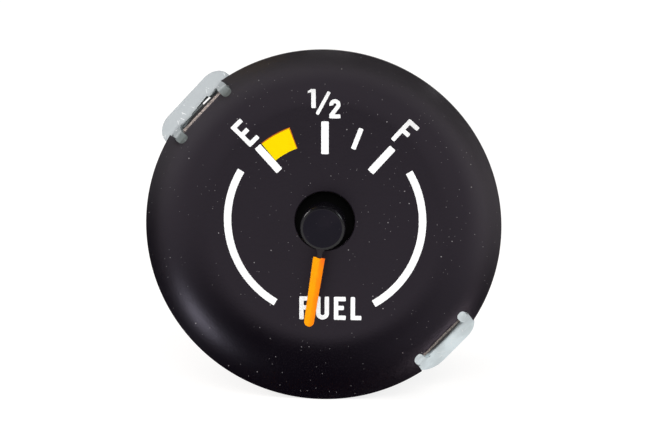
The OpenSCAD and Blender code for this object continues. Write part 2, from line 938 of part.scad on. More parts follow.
module outer_coil() {
    color([0.78, 0.4, 0.18])
        rotate([0, 90, 0])
            winding(half_cross, former_half + winding_gap);
}

module magnetic_shield() {
    color([0.6, 0.61, 0.63])
        difference() {
            turned([[shield_r, shield_front], [shield_r + shield_wall, shield_front],
                    [shield_r + shield_wall, board_front], [0, board_front],
                    [0, shield_floor], [shield_r, shield_floor]]);
            at_screws()
                disc(screw_r + hole_gap, shield_floor - overcut, board_front + overcut);
        }
}

module shield_cover() {
    color([0.08, 0.08, 0.08])
        ring(cover_hole_r, shield_r - seat_gap, shield_front, shield_front + cover_t,
             round_fn);
}

// Terminals

module at_studs() {
    for (clock = stud_angles)
        at_clock(clock)
            translate([0, 0, stud_ring_r])
                children();
}

// Height of the strap under the washers: the top stud has none
function strap_lift(clock) = clock == 0 ? 0 : strap_t;

module terminal_board() {
    color([0.5, 0.28, 0.14])
        difference() {
            disc(board_d / 2, board_front, board_front + board_t, round_fn);
            at_studs()
                disc(stud_r + hole_gap, board_front - overcut, can_back);
            at_screws()
                disc(screw_r + hole_gap, board_front - overcut, can_back);
        }
}

module terminal_studs() {
    color([0.82, 0.7, 0.35])
        at_studs() {
            disc(stud_head_r, board_front - stud_head_t, board_front, 6);
            disc(stud_r, board_front - stud_head_t, can_back + stud_out);
        }
}

module insulating_bushes() {
    color([0.75, 0.72, 0.62])
        at_studs()
            difference() {
                union() {
                    disc(spigot_r, board_front + board_t, can_back);
                    disc(flange_r, can_back, flange_back);
                }
                disc(stud_r + hole_gap, board_front, flange_back + overcut);
            }
}

module flat_washers() {
    color([0.78, 0.79, 0.8])
        for (clock = stud_angles)
            at_clock(clock)
                translate([0, flange_back + strap_lift(clock), stud_ring_r])
                    ring(stud_r + hole_gap, washer_r, 0, washer_t);
}

module lock_washers() {
    color([0.7, 0.71, 0.73])
        for (clock = stud_angles)
            at_clock(clock)
                translate([0, flange_back + strap_lift(clock) + washer_t, stud_ring_r])
                    difference() {
                        ring(stud_r + hole_gap, lock_r, 0, lock_t);
                        translate([stud_r, lock_t / 2, 0])
                            cube([2 * lock_r, 2 * lock_t, lock_slit], center = true);
                    }
}

module terminal_nuts() {
    color([0.82, 0.7, 0.35])
        for (clock = stud_angles)
            at_clock(clock)
                translate([0, flange_back + strap_lift(clock) + washer_t + lock_t, stud_ring_r])
                    difference() {
                        disc(nut_af / 2 / cos(30), 0, nut_t, 6);
                        disc(stud_r + seat_gap, -overcut, nut_t + overcut);
                    }
}

module movement_screws() {
    color([0.75, 0.76, 0.78])
        at_screws()
            difference() {
                union() {
                    disc(screw_r, shield_floor - screw_grip, can_back);
                    disc(screw_head_r, can_back, can_back + screw_head_t);
                }
                translate([0, can_back + screw_head_t, 0])
                    cube([2 * screw_head_r + overcut, 2 * slot_t, slot_w], center = true);
            }
}

module bias_resistor() {
    color([0.88, 0.87, 0.82])
        translate([-resistor_len / 2, flange_back + resistor_lift, stud_low - resistor_w / 2])
            cube([resistor_len, resistor_w, resistor_w]);
}

module resistor_straps() {
    color([0.75, 0.76, 0.78])
        for (side = [-1, 1])
            difference() {
                union() {
                    translate([side * stud_side, 0, stud_low])
                        disc(washer_r, flange_back, flange_back + strap_t);
                    translate([side * (resistor_len / 2 + stud_side) / 2,
                               flange_back + strap_t / 2, stud_low])
                        cube([stud_side - resistor_len / 2, strap_t, strap_w], center = true);
                    translate([side * (resistor_len / 2 + strap_t / 2),
                               flange_back + strap_rise / 2, stud_low])
                        cube([strap_t, strap_rise, strap_w], center = true);
                }
                translate([side * stud_side, 0, stud_low])
                    disc(stud_r + hole_gap, flange_back - overcut, flange_back + strap_rise);
            }
}

dial_plate();
scale_print();
reserve_patch();
reserve_underprint();
upper_left_ear();
lower_right_ear();
ear_rivets();
case_can();
pointer_hub();
pointer_blade();
pointer_bush();
balance_weight();
spindle();
magnet_rotor();
former_front();
former_rear();
front_bush();
rear_bush();
inner_coil();
outer_coil();
magnetic_shield();
shield_cover();
terminal_board();
terminal_studs();
insulating_bushes();
flat_washers();
lock_washers();
terminal_nuts();
movement_screws();
bias_resistor();
resistor_straps();
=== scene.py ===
# Car fuel gauge: the finish of every piece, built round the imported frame
import math
import bmesh
import bpy
from mathutils import Matrix, Vector


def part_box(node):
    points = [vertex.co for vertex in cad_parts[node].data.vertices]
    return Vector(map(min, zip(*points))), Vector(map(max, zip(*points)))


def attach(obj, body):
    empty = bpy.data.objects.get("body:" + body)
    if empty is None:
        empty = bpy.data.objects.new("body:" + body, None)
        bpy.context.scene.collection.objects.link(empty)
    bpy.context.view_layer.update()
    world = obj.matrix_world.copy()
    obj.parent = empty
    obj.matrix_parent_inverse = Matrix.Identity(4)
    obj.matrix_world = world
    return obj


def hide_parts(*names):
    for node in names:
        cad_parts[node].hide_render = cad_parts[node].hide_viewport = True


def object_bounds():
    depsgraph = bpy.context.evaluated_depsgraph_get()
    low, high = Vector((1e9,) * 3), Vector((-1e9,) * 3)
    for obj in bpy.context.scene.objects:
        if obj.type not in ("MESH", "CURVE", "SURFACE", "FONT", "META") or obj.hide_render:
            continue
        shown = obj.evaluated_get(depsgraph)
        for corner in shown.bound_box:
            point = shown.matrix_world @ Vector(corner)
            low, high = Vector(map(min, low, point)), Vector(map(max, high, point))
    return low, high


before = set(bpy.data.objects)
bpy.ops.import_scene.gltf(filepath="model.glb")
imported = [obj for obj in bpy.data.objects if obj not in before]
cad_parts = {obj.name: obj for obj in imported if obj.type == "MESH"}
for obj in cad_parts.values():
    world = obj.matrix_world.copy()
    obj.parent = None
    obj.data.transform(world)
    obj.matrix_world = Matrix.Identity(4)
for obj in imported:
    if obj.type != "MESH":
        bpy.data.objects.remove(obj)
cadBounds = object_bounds()
metre = 1000                 # the pieces are drawn in millimetres, about the dial axis
print("frame loaded")


# Shader sockets that take part in sums

class Wire:
    def __init__(self, paint, socket):
        self.paint = paint
        self.socket = socket

    def math(self, operation, *values):
        return self.paint.add("Math", {"operation": operation}, values)

    def __add__(self, other):
        return self.math("ADD", self, other)

    def __sub__(self, other):
        return self.math("SUBTRACT", self, other)

    def __rsub__(self, other):
        return self.math("SUBTRACT", other, self)

    def __mul__(self, other):
        return self.math("MULTIPLY", self, other)

    def __pow__(self, other):
        return self.math("POWER", self, other)

    __radd__ = __add__
    __rmul__ = __mul__

    def rises(self, low, high):        # 0 below low, 1 above high
        return self.paint.add("MapRange", {"interpolation_type": "SMOOTHSTEP"},
                              {"Value": self, "From Min": low, "From Max": high})

    def falls(self, low, high):
        return 1 - self.rises(low, high)


class Paint:
    def __init__(self, owner):
        owner.use_nodes = True
        self.owner = owner
        self.tree = owner.node_tree

    def add(self, kind, settings=None, sockets=(), out=0):
        node = self.tree.nodes.new("ShaderNode" + kind)
        for name, value in (settings or {}).items():
            setattr(node, name, value)
        pairs = sockets.items() if isinstance(sockets, dict) else enumerate(sockets)
        for key, value in pairs:
            self.feed(node.inputs[key], value)
        return Wire(self, node.outputs[out])

    def feed(self, socket, value):
        if isinstance(value, Wire):
            self.tree.links.new(value.socket, socket)
        elif value is not None:
            socket.default_value = value

    def place(self, stretch=(1, 1, 1), turn=(0, 0, 0)):
        spot = self.add("TexCoord", out="Object")
        return self.add("Mapping", {}, {"Vector": spot, "Scale": stretch, "Rotation": turn})

    def noise(self, grain, detail=2, stretch=(1, 1, 1), turn=(0, 0, 0)):
        return self.add("TexNoise", {}, {"Vector": self.place(stretch, turn),
                                         "Scale": metre / grain, "Detail": detail})

    def axis(self, letter, turn=(0, 0, 0)):
        # A coordinate in millimetres
        spot = self.place((metre,) * 3, turn)
        return self.add("SeparateXYZ", {}, (spot,), letter)

    def reach(self):
        # Distance from the dial's axis
        return (self.axis("X") ** 2 + self.axis("Z") ** 2) ** 0.5

    def specks(self, spacing, size, share=1.0, lean=0, length=1):
        # Spots of this radius as seen from the front, on a share of the cells; a length
        # above 1 draws them out to scratches, which lean by the angle in degrees
        x, z = self.axis("X"), self.axis("Z")
        along, across = math.cos(math.radians(lean)), math.sin(math.radians(lean))
        spot = self.add("CombineXYZ", {}, (x * along + z * across,
                                           (z * along - x * across) * (1 / length), 0))
        cells = self.add("TexVoronoi", {"voronoi_dimensions": "2D"},
                         {"Vector": spot, "Scale": 1 / spacing})
        chosen = self.noise(spacing * 2).rises(0.6 - 0.25 * share, 0.64 - 0.25 * share)
        return cells.falls(size / spacing * 0.5, size / spacing) * chosen

    def blend(self, factor, low, high):
        return self.add("Mix", {"data_type": "RGBA"}, {0: factor, 6: low, 7: high}, 2)


def rgb(red, green, blue):
    return (red, green, blue, 1)


def paintOf(name, **constants):
    # A material on one Principled shader, with the values that are the same all over
    paint = Paint(bpy.data.materials.new(name))
    paint.shader = paint.tree.nodes["Principled BSDF"]
    for socket, value in constants.items():
        paint.shader.inputs[socket.replace("_", " ")].default_value = value
    return paint


def coat(paint, colour=None, roughness=None, height=None, depth=0.02, metallic=None):
    # depth is in millimetres, for a height that runs from 0 to 1
    paint.feed(paint.shader.inputs["Base Color"], colour)
    paint.feed(paint.shader.inputs["Roughness"], roughness)
    paint.feed(paint.shader.inputs["Metallic"], metallic)
    if height is not None:
        bump = paint.add("Bump", {}, {"Height": height, "Strength": 1.0,
                                      "Distance": depth / metre})
        paint.feed(paint.shader.inputs["Normal"], bump)
    return paint.owner


# Finishes

dialFinish = {
    "black": rgb(0.0012, 0.0005, 0.002),
    "sheen": rgb(0.95, 0.82, 1.0),
    "dust": rgb(0.3, 0.28, 0.29),
    # painted light: a greyer black up the rim towards the top, standing in for the bright floor
    # mirrored there
    "rimLight": rgb(0.056, 0.051, 0.057),
    "rimLightFrom": 31.5,
    "rimLightTo": 40,
    "rimLightLow": -12,
    "rimLightHigh": 20,
    "rimLightLean": 0.2,
    "gloss": 0.35,
    "peel": 0.9,
    "peelDepth": 0.006,
}


def dialBlack():
    # Matt black paint with dust and scratches, and painted light that greys the rim towards the top
    # and a little towards the right
    paint = paintOf("dialBlack", Specular_IOR_Level=0.39, Specular_Tint=dialFinish["sheen"])
    peel = paint.noise(dialFinish["peel"], 3)
    fine = paint.noise(0.16, 2)
    grain = paint.noise(0.45, 2)
    dust = paint.specks(2.3, 0.09, 0.3) * 0.6 + paint.specks(4.7, 0.12, 0.35) * 0.75
    dust = dust + paint.specks(9.1, 0.17, 0.5)
    marks = paint.specks(9, 0.06, 0.4, 35, 12) * 0.2
    worn = paint.noise(22, 4)
    # painted light up the rim, strongest at the top
    rimLight = paint.reach().rises(dialFinish["rimLightFrom"], dialFinish["rimLightTo"])
    high = paint.axis("Z") + paint.axis("X") * dialFinish["rimLightLean"]
    rimLight = rimLight * high.rises(dialFinish["rimLightLow"], dialFinish["rimLightHigh"])
    colour = paint.blend(rimLight, dialFinish["black"], dialFinish["rimLight"])
    colour = paint.blend(dust + marks, colour, dialFinish["dust"])
    gloss = worn * 0.1 + fine * 0.08 + dust * 0.4 + (dialFinish["gloss"] - 0.09)
    height = peel + grain * 3 + fine * 0.35 + dust * 2
    return coat(paint, colour, gloss, height, dialFinish["peelDepth"])


def bareCut():
    # Bare sheet where the dial is cut, dulled and slightly torn
    paint = paintOf("bareCut", Metallic=0.4)
    torn = paint.noise(0.35, 4)
    colour = paint.blend(torn.rises(0.35, 0.65), rgb(0.05, 0.041, 0.037), rgb(0.32, 0.27, 0.245))
    return coat(paint, colour, torn * 0.3 + 0.35, torn, 0.04)


def ink(name, colour, shade, glow=0.0):
    # Screen-printed ink with a few pinholes; glow is painted light, an emission that keeps the ink
    # bright where shade falls on it
    paint = paintOf(name, Specular_IOR_Level=0.06, Emission_Color=colour,
                    Emission_Strength=glow)
    grain = paint.noise(0.14, 3)
    cloud = paint.noise(3.5, 3)
    pinholes = paint.specks(1.3, 0.05, 0.5)
    tone = paint.blend(cloud.rises(0.35, 0.75) * 0.6 + pinholes * 0.5, colour, shade)
    return coat(paint, tone, grain * 0.12 + 0.42, grain + pinholes * -2, 0.004)


earFinish = {
    "dull": rgb(0.4, 0.435, 0.445),
    "bright": rgb(0.95, 0.96, 0.96),
    # painted shade colour for the fingers
    "tip": rgb(0.16, 0.18, 0.17),
    "gloss": 0.55,
    "tipShadeFullR": 37.0,
    "tipShadeEndR": 40.0,
}


def zincPlate(name, tone, marks, tipShade):
    # Satin zinc: clouded, with white scuffs and scratches, and painted shade that darkens the
    # fingers where they lie on the dial
    paint = paintOf(name, Metallic=0.55, Specular_IOR_Level=0.4)
    cloud = paint.noise(4.5, 4)
    grain = paint.noise(0.12, 3)
    scuffs = paint.specks(1.3, 0.1, marks, 20, 7) + paint.specks(0.9, 0.07, marks, -50, 14)
    scuffs = scuffs + paint.specks(1.1, 0.08, marks, 75, 11) + paint.specks(2.6, 0.13, marks)
    scuffs = scuffs * paint.noise(1.1, 3).rises(0.35, 0.6)
    pits = paint.specks(2.7, 0.07, 0.4)
    # painted shade over the fingers, fading out towards the plate
    tipShadeMask = paint.reach().falls(earFinish["tipShadeFullR"], earFinish["tipShadeEndR"]) * tipShade
    colour = paint.blend(cloud.rises(0.38, 0.7) * 0.35 + pits * 0.7, tone, earFinish["dull"])
    colour = paint.blend(scuffs * 0.6, colour, earFinish["bright"])
    colour = paint.blend(tipShadeMask, colour, earFinish["tip"])
    gloss = cloud * 0.14 + grain * 0.08 + (earFinish["gloss"] - 0.11)
    return coat(paint, colour, gloss, grain * 0.5 + cloud - scuffs - pits, 0.006)


# painted shade: the dark the drum takes just behind the dial, where the dial shades it
dialShade = {"colour": rgb(0.03, 0.029, 0.03), "from": -4.2, "to": -2.4}


def metal(name, colour, dull, gloss=0.35, grain=0.2, wear=0.5, depth=0.006, drawn=0.0,
          paintedShade=0.0):
    # Machined or drawn metal: clouded tarnish, fine grain, scratches, lines round the axis,
    # and painted shade just behind the dial
    paint = paintOf(name, Metallic=1.0)
    cloud = paint.noise(5, 4)
    fine = paint.noise(grain, 3) + paint.noise(1.2, 3, (0.04, 4, 0.04)) * drawn
    lines = paint.specks(1.4, 0.05, 0.6, 40, 14) * wear
    tarnish = cloud.rises(0.3, 0.8) * 0.55 + fine * 0.15
    tone = paint.blend(tarnish, colour, dull)
    if paintedShade:
        # painted shade just behind the dial
        shadeBehindDial = paint.axis("Y").falls(dialShade["from"], dialShade["to"])
        tone = paint.blend(shadeBehindDial * paintedShade, tone, dialShade["colour"])
    return coat(paint, tone, cloud * 0.22 + fine * 0.1 + (gloss - 0.16), fine + cloud - lines,
                depth)


moteColour = rgb(0.4, 0.38, 0.38)


def moulding(name, colour, shade, gloss=0.42, grain=0.3, depth=0.008, dust=0.0, shine=0.4):
    # Moulded or pressed material: cloudy tone, slight orange peel, a little dust
    paint = paintOf(name, Specular_IOR_Level=shine)
    cloud = paint.noise(6, 4)
    fine = paint.noise(grain, 3)
    motes = paint.specks(2.4, 0.09, 0.7)
    tone = paint.blend(cloud.rises(0.35, 0.75), colour, shade)
    tone = paint.blend(motes * dust, tone, moteColour)
    return coat(paint, tone, cloud * 0.1 + fine * 0.1 + (gloss - 0.1), fine + motes * dust, depth)


wireWidth = 0.22


def windings(name, letter):
    # Enamelled wire, a turn beside a turn
    paint = paintOf(name, Metallic=1.0)
    phase = paint.axis(letter) * (2 * math.pi / wireWidth)
    turns = paint.add("Math", {"operation": "SINE"}, (phase,))
    cloud = paint.noise(3, 3)
    tone = paint.blend(turns.falls(-1, 0.2) * 0.7 + cloud * 0.2, rgb(0.62, 0.18, 0.06),
                       rgb(0.2, 0.05, 0.02))
    return coat(paint, tone, cloud * 0.15 + 0.25, turns + cloud, 0.03)


def laminate():
    # Brown paper laminate: long fibres under a thin resin skin
    paint = paintOf("laminate", Specular_IOR_Level=0.4)
    fibres = paint.noise(0.5, 4, (0.12, 1, 1)) + paint.noise(0.6, 4, (1, 1, 0.2)) * 0.5
    cloud = paint.noise(9, 3)
    tone = paint.blend(fibres.rises(0.5, 0.95) * 0.7 + cloud * 0.2, rgb(0.2, 0.062, 0.018),
                       rgb(0.1, 0.028, 0.01))
    return coat(paint, tone, fibres * 0.15 + 0.3, fibres + cloud, 0.012)


restAngle = 8.6
pointerFinish = {
    "litAmber": rgb(1.0, 0.36, 0.004),
    "orange": rgb(1.0, 0.245, 0.005),
    "red": rgb(1.0, 0.11, 0.02),
    "ridgeAt": 0.62,
    "ridgeSoft": 0.6,
    "cornerAt": 9.5,
}


def pointerOrange():
    # Orange lacquer with painted light and shade: a lighter amber left of the ridge, a redder shaded
    # orange right of it, and redder still towards its top corner
    paint = paintOf("pointerOrange", Specular_IOR_Level=0.04)
    hanging = (0, math.radians(-restAngle), 0)
    grain = paint.noise(0.2, 3)
    cloud = paint.noise(2.2, 3)
    ridge, soft = pointerFinish["ridgeAt"], pointerFinish["ridgeSoft"]
    # painted shade right of the ridge
    past = paint.axis("X", hanging).rises(ridge - soft, ridge + soft)
    high = paint.axis("Z", hanging).rises(-pointerFinish["cornerAt"], -blade["start"])
    tone = paint.blend(past, pointerFinish["litAmber"], pointerFinish["orange"])
    tone = paint.blend(past * high * 0.5 + cloud.rises(0.45, 0.8) * 0.15, tone,
                       pointerFinish["red"])
    return coat(paint, tone, grain * 0.14 + 0.4, grain + cloud, 0.005)


finishes = {
    "dialBlack": dialBlack(),
    "bareCut": bareCut(),
    # the white ink glows a little: painted light that lifts it where shadow falls on it
    "whiteInk": ink("whiteInk", rgb(1.0, 1.0, 1.0), rgb(0.97, 0.97, 0.98), glow=0.07),
    "yellowInk": ink("yellowInk", rgb(0.99, 0.72, 0.0), rgb(0.97, 0.68, 0.0)),
    "brownInk": ink("brownInk", rgb(0.6, 0.15, 0.012), rgb(0.42, 0.09, 0.01)),
    # one zinc plate in two copies: the upper ear's painted darker and the lower ear's lighter,
    # painted shade and light for how each ear meets the lamps and floor
    "zincUpper": zincPlate("zincUpper", rgb(0.31, 0.34, 0.355), marks=0.45, tipShade=0.72),
    "zincLower": zincPlate("zincLower", rgb(0.79, 0.87, 0.9), marks=0.75, tipShade=0.25),
    "rivetSteel": metal("rivetSteel", rgb(0.5, 0.51, 0.53), rgb(0.3, 0.3, 0.31)),
    # the case drum carries painted shade just behind the dial
    "caseSteel": metal("caseSteel", rgb(0.27, 0.274, 0.28), rgb(0.15, 0.152, 0.155),
                       gloss=0.4, drawn=0.5, paintedShade=0.85),
    "hubPlastic": moulding("hubPlastic", rgb(0.007, 0.006, 0.0105), rgb(0.011, 0.009, 0.014),
                           gloss=0.4, grain=0.22, depth=0.006, dust=0.12, shine=0.1),
    "hubRim": moulding("hubRim", rgb(0.004, 0.0035, 0.005), rgb(0.006, 0.0055, 0.007),
                       gloss=0.22, grain=0.22, depth=0.003, dust=0.04, shine=0.36),
    "stemPlastic": moulding("stemPlastic", rgb(0.014, 0.011, 0.013), rgb(0.02, 0.016, 0.018),
                            gloss=0.4, grain=0.2, dust=0.1, shine=0.22),
    "brass": metal("brass", rgb(0.7, 0.48, 0.17), rgb(0.42, 0.26, 0.09), gloss=0.34),
    "weightMetal": metal("weightMetal", rgb(0.25, 0.25, 0.26), rgb(0.15, 0.15, 0.16), gloss=0.5),
    "brightSteel": metal("brightSteel", rgb(0.6, 0.6, 0.62), rgb(0.42, 0.42, 0.44), gloss=0.3),
    "magnet": metal("magnet", rgb(0.06, 0.06, 0.065), rgb(0.035, 0.035, 0.04), gloss=0.5),
    "formerPlastic": moulding("formerPlastic", rgb(0.78, 0.74, 0.6), rgb(0.68, 0.62, 0.46)),
    "innerCopper": windings("innerCopper", "X"),
    "outerCopper": windings("outerCopper", "Z"),
    "laminate": laminate(),
    "shieldSteel": metal("shieldSteel", rgb(0.36, 0.37, 0.39), rgb(0.22, 0.22, 0.23), gloss=0.45),
    # the movement's cover in an almost lightless black: its real black paint with painted shade
    # added, so the centre hole shows dark
    "coverBlack": moulding("coverBlack", rgb(0.002, 0.002, 0.002), rgb(0.003, 0.003, 0.003),
                           gloss=0.85, shine=0.05),
    "bushFibre": moulding("bushFibre", rgb(0.5, 0.45, 0.33), rgb(0.4, 0.34, 0.23),
                          gloss=0.7, grain=0.15, depth=0.02),
    "resistorCeramic": moulding("resistorCeramic", rgb(0.75, 0.73, 0.66), rgb(0.63, 0.6, 0.52),
                                gloss=0.75, grain=0.12, depth=0.03),
}
print("finishes made")


# Mesh helpers: each piece is drawn in millimetres and then turned into an object

def corners(found):
    return [part for part in found["geom"] if isinstance(part, bmesh.types.BMVert)]


def chain(mesh, points):
    # Edges through [radius, y] points, drawn straight above the axis
    dots = [mesh.verts.new((0, y, radius)) for radius, y in points]
    for pair in zip(dots, dots[1:]):
        mesh.edges.new(pair)
    return dots


def turnFully(mesh, steps=96):
    bmesh.ops.spin(mesh, geom=mesh.verts[:] + mesh.edges[:], cent=(0, 0, 0), axis=(0, 1, 0),
                   angle=2 * math.pi, steps=steps, use_merge=True)
    bmesh.ops.remove_doubles(mesh, verts=mesh.verts, dist=0.001)


def reachOf(spot):
    # Distance from the dial's axis
    return math.hypot(spot.x, spot.z)


def easeEdges(mesh, width, segments=2, angle=32, chosen=None):
    # Rounds every edge that turns by more than the angle
    limit = math.radians(angle)
    sharp = [edge for edge in mesh.edges
             if edge.is_manifold and edge.calc_face_angle() > limit
             and (chosen is None or chosen(edge))]
    bmesh.ops.bevel(mesh, geom=sharp, offset=width, offset_type="OFFSET", affect="EDGES",
                    segments=segments, profile=0.5, material=-1, clamp_overlap=True)


def roundAt(mesh, radius, segments, chosen):
    # Rounds the corners of a flat face that are chosen by their place
    found = [vert for vert in mesh.verts if chosen(vert.co)]
    bmesh.ops.bevel(mesh, geom=found, offset=radius, affect="VERTICES", segments=segments,
                    profile=0.5, material=-1)


def flatFace(mesh, outline, place):
    return mesh.faces.new([mesh.verts.new(place(*point)) for point in outline])


def pushOut(mesh, face, way):
    raised = corners(bmesh.ops.extrude_face_region(mesh, geom=[face]))
    bmesh.ops.translate(mesh, verts=raised, vec=way)


def cutAcross(mesh, spot, normal):
    bmesh.ops.bisect_plane(mesh, geom=mesh.verts[:] + mesh.edges[:] + mesh.faces[:],
                           dist=0.0001, plane_co=spot, plane_no=normal)


def join(mesh, other):
    data = bpy.data.meshes.new("joined")
    other.to_mesh(data)
    other.free()
    mesh.from_mesh(data)
    bpy.data.meshes.remove(data)


def turned(mesh, parts, angle):
    # Clock angle about the dial axis, from the top towards +X
    bmesh.ops.rotate(mesh, verts=parts, cent=(0, 0, 0),
                     matrix=Matrix.Rotation(math.radians(angle), 3, "Y"))


def thicken(mesh, sheet):
    # Gives a sheet that faces forward its thickness, towards the back
    bmesh.ops.remove_doubles(mesh, verts=mesh.verts, dist=0.0005)
    bmesh.ops.recalc_face_normals(mesh, faces=mesh.faces)
    if sum(face.normal.y * face.calc_area() for face in mesh.faces) > 0:
        bmesh.ops.reverse_faces(mesh, faces=mesh.faces)
    bmesh.ops.solidify(mesh, geom=mesh.faces[:], thickness=sheet)


def piece(mesh, name, body, finish, nodes, angle=38):
    # Makes the object: closed, outward, smooth but for its sharp edges, in metres
    bmesh.ops.remove_doubles(mesh, verts=mesh.verts, dist=0.0005)
    bmesh.ops.recalc_face_normals(mesh, faces=mesh.faces)
    bmesh.ops.scale(mesh, verts=mesh.verts, vec=(1 / metre,) * 3)
    data = bpy.data.meshes.new(name)
    mesh.to_mesh(data)
    mesh.free()
    data.shade_smooth()
    data.set_sharp_from_angle(angle=math.radians(angle))
    for material in [finish] if isinstance(finish, str) else finish:
        data.materials.append(finishes[material])
    made = bpy.data.objects.new(name, data)
    bpy.context.scene.collection.objects.link(made)
    even = made.modifiers.new("evenShading", "WEIGHTED_NORMAL")
    even.keep_sharp = True
    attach(made, body)
    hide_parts(*nodes)
    print("made", name, len(data.polygons), "faces")
    return made


def nodeBox(node):
    low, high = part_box(node)
    return low * metre, high * metre


# Places that the dial and the ears share

dialLow, dialHigh = nodeBox("dial_plate")
rimR = dialHigh.x
rimY = dialLow.y
flatR = 26.5
flatY = nodeBox("reserve_patch")[1].y
dish = {
    "sheet": 0.8,
    "holeR": 6.75,
    "holeRound": 0.3,
    "steps": 288,
    "arcSteps": 20,
    "edge": 0.12,
}
curveR = ((rimR - flatR) ** 2 + (flatY - rimY) ** 2) / (2 * (flatY - rimY))
curveY = flatY - curveR
rimAngle = math.asin((rimR - flatR) / curveR)


def faceY(radius, ahead=0):
    # The dial's front, or a surface that lies in front of it by the distance ahead
    reach = curveR - ahead
    return curveY + math.sqrt(reach ** 2 - max(0, radius - flatR) ** 2)


earClock = 133.2
notch = {
    "depth": 2.8,
    "width": 17,
    "leftIn": 0.12,
    "rightIn": 0.45,
    "bareDepth": 0.7,
}
notchR = rimR - notch["depth"]


def notchWays(clock):
    # Directions out from the axis through a notch, and along its bottom
    turn = math.radians(clock)
    out = Vector((math.sin(turn), 0, math.cos(turn)))
    side = Vector((math.cos(turn), 0, -math.sin(turn)))
    return out, side


def cutNotch(mesh, clock, low, high):
    out, side = notchWays(clock)

    def within(face, back, aside):
        middle = face.calc_center_median()
        return (middle.dot(out) > notchR - back
                and low - aside < middle.dot(side) < high + aside)

    def nearby():
        faces = [face for face in mesh.faces if within(face, 3, 2)]
        return list({part for face in faces for part in (face, *face.edges, *face.verts)})

    for spot, normal in ((out * notchR, out), (side * low, side), (side * high, side)):
        bmesh.ops.bisect_plane(mesh, geom=nearby(), dist=0.001, plane_co=spot, plane_no=normal)
    inside = [face for face in mesh.faces if within(face, 0, 0)]
    bmesh.ops.delete(mesh, geom=inside, context="FACES")


def cutEdgeOf(face, clock):
    # Whether a face lies on the sheet's cut edge along the bottom of a notch
    out, side = notchWays(clock)
    middle = face.calc_center_median()
    low, high = notchR - 0.1, notchR + notch["bareDepth"]
    return (low < middle.dot(out) < high and abs(middle.dot(side)) < notch["width"] / 2
            and abs(face.normal.dot(out)) > 0.6 and face.normal.y > -0.75
            and len(face.verts) == 4 and face.calc_area() < dish["sheet"] * 1.2)


def makeDial():
    mesh = bmesh.new()
    bend = chain(mesh, [(dish["holeR"], flatY), (flatR, flatY)])[-1]
    bmesh.ops.spin(mesh, geom=[bend], cent=(0, curveY, flatR), axis=(1, 0, 0),
                   angle=rimAngle, steps=dish["arcSteps"])
    turnFully(mesh, dish["steps"])
    half = notch["width"] / 2
    cutNotch(mesh, earClock, notch["rightIn"] - half, half)
    cutNotch(mesh, earClock + 180, -half, half - notch["leftIn"])
    thicken(mesh, dish["sheet"])
    for vert in mesh.verts:            # the rim is trimmed to a straight wall
        reach = reachOf(vert.co)
        if reach > rimR:
            vert.co.x *= rimR / reach
            vert.co.z *= rimR / reach
    for face in mesh.faces:
        if cutEdgeOf(face, earClock) or cutEdgeOf(face, earClock + 180):
            face.material_index = 1
    easeEdges(mesh, dish["holeRound"], 3, 60, lambda edge: all(
        reachOf(vert.co) < dish["holeR"] + 0.02 and vert.co.y < flatY + 0.1
        for vert in edge.verts))
    easeEdges(mesh, dish["edge"], 2, 40)
    return piece(mesh, "dialPlate", "case", ("dialBlack", "bareCut"),
                 ["dial_plate"])


makeDial()


# Ears: a strip cut flat, then laid along its bent section

ear = {
    "sheet": 0.9,
    "slope": 42,
    "stand": 2.4,
    "length": 5.2,
    "fingerWidth": 2.3,
    "root": 0.7,
    "bendPlate": 5,
    "bendFade": 0.6,
    "crestOut": 0.15,
    "crestLift": 0.3,
    "lapAfter": 0.2,
    "lapShare": 0.64,
    "settle": 1.2,
    "legWidth": 5.5,
    "legEdge": -0.6,
    "legBack": 6.5,
    "legFront": 3.6,
    "legRound": 1.4,
    "legSteps": 8,
    "edge": 0.16,
}
upperEar = {
    "clock": earClock + 180,
    "ends": (-11.2, 9.8),
    "corners": (4.0, 5.0),
    "slip": -0.28,
    "closer": 0,
    "lap": 1.6,
    "bendCrest": 1.2,
    "relief": [(3.4, 0), (3.1, 0.8), (-0.9, 0.4), (-2.2, 0.35), (-2.35, 0)],
}
lowerEar = {
    "clock": earClock,
    "ends": (-7.75, 9.9),
    "corners": (4.7, 5.0),
    "slip": 0.28,
    "closer": 0.28,
    "lap": 1.0,
    "bendCrest": 0.8,
    "relief": [],
}
undercut = {
    "by": 0.7,
    "depth": 2.1,
    "past": 0.2,
    "fadeAside": 0.4,
    "fadeIn": 0.9,
    "end": 0.3,
}
drumInset = 1.7
seatGap = 0.05
freeGap = 0.15
bendSteps = 12
lapSteps = 4


def fingerMid(shape):
    # Distance from the ear's middle to the middle of a finger
    return (notch["width"] - freeGap - ear["fingerWidth"]) / 2 - shape["closer"]


def bentSection(shape):
    # Outer line of the section, as [z, y] points: plate, shank, crest, then the lap on the dial
    mid, lap = fingerMid(shape), shape["lap"]
    slope = math.radians(ear["slope"])
    outer = Vector((rimR + ear["stand"], -ear["sheet"] * math.cos(slope)))
    inward = Vector((-math.cos(slope), -math.sin(slope)))
    shank = outer + inward * (ear["length"] - ear["sheet"])
    crestZ = notchR + freeGap
    crest = Vector((crestZ + ear["crestOut"],
                    faceY(math.hypot(mid, crestZ), ear["sheet"]) - ear["crestLift"]))
    start, end = crestZ - ear["lapAfter"] - lap * ear["lapShare"], notchR - lap
    lying = []
    for step in range(lapSteps + 1):
        z = start + (end - start) * step / lapSteps
        lying.append(Vector((z, faceY(math.hypot(mid, z), ear["sheet"] + seatGap))))
    return [outer, shank, crest] + lying


